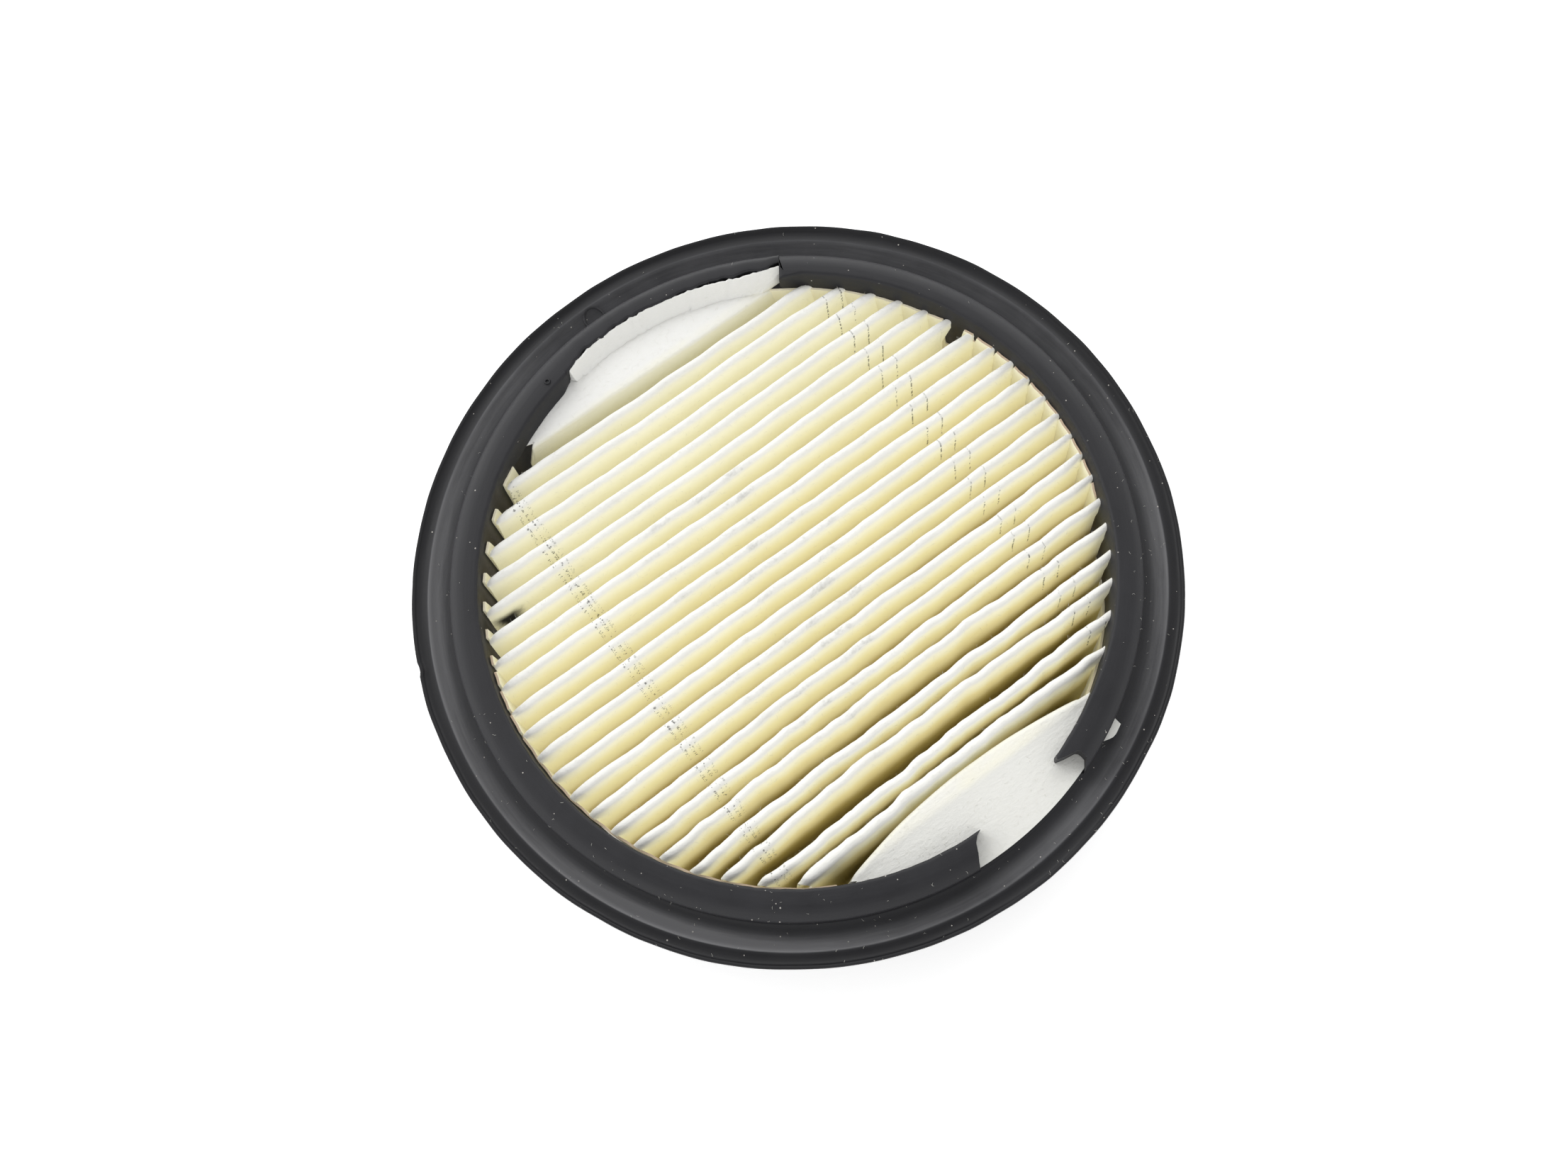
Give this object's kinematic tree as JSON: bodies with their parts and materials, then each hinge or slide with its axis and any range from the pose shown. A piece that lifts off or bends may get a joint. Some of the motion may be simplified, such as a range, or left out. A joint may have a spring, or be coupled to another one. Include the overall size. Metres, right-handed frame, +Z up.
{
  "type": "air filter",
  "caption": "Round panel air filter: a pleated cream paper pack with flat end flaps, in a moulded black rubber rim with a dished sealing lip and a skirt.",
  "frame": {"origin": "centre of the bottom face of the skirt", "axes": "+Z up through the filter from the skirt to the sealing lip, +X along the pleats, +Y across the pleats"},
  "size_m": [0.205, 0.205, 0.038],
  "materials": {
    "rim_rubber": "satin black cast rubber, fine dust in its pores",
    "filter_paper": "matte cream resin-treated filter paper with a fibrous grain",
    "strip_paper": "matte cream paper with a tan cut edge"
  },
  "bodies": {
    "root": {"seal_rim": "rim_rubber", "pleated_media": "filter_paper", "right_end_strip": "strip_paper", "left_end_strip": "strip_paper"}
  },
  "joints": []
}
